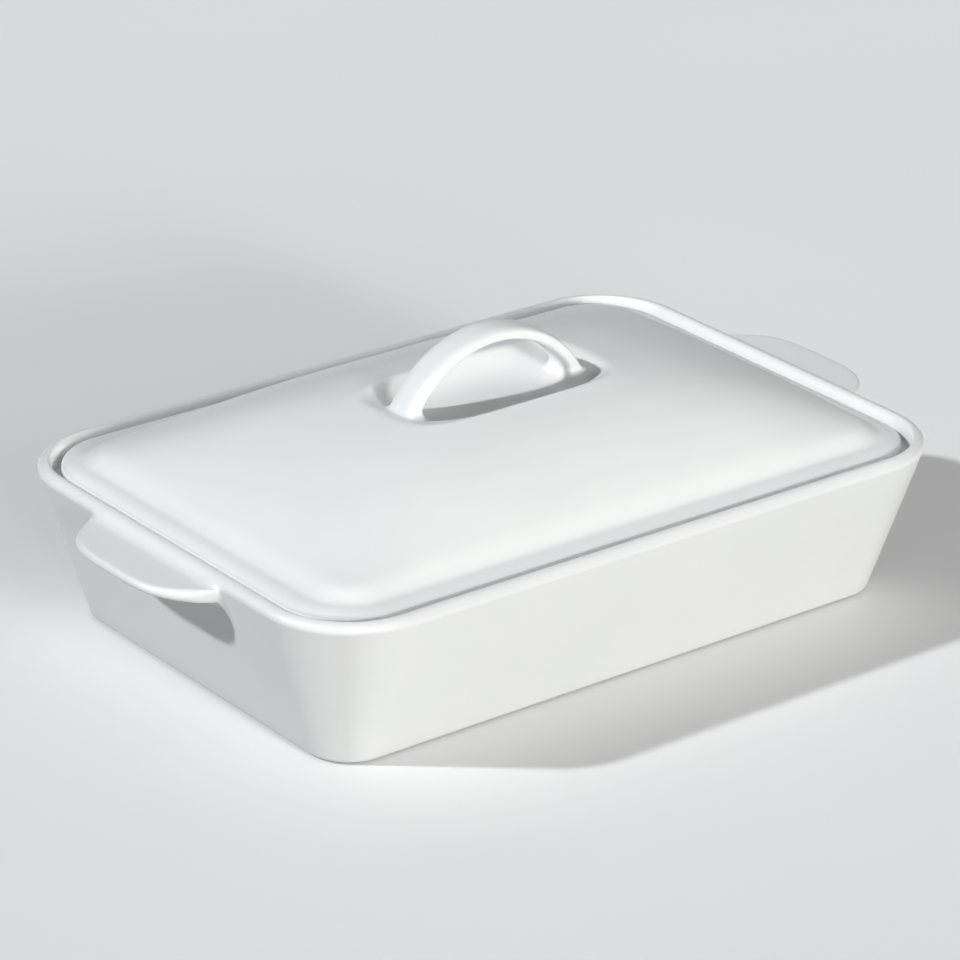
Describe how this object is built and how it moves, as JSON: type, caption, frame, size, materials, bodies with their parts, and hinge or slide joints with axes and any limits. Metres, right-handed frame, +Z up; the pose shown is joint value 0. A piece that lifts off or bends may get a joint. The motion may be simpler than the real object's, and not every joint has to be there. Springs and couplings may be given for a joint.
{
  "type": "lidded baking dish",
  "caption": "Flared rectangular white glazed ceramic baking dish with end lugs and a lift-off crowned lid with an arched handle in an oval finger recess.",
  "frame": {"origin": "centre of the foot that the dish stands on, on the surface under it", "axes": "+X along the dish from the left lug to the right lug, +Y across it, +Z up"},
  "size_m": [0.3972, 0.2424, 0.13],
  "materials": {
    "white_glaze": "glossy white glaze"
  },
  "bodies": {
    "dish": {"dish_bowl": "white_glaze", "left_lug_handle": "white_glaze", "right_lug_handle": "white_glaze"},
    "lid": {"lid_shell": "white_glaze", "lid_handle": "white_glaze"}
  },
  "joints": [
    {"name": "lid_lift", "type": "slide", "parent": "dish", "child": "lid", "axis": [0, 0, 1], "range_m": [0, 0.12]}
  ]
}
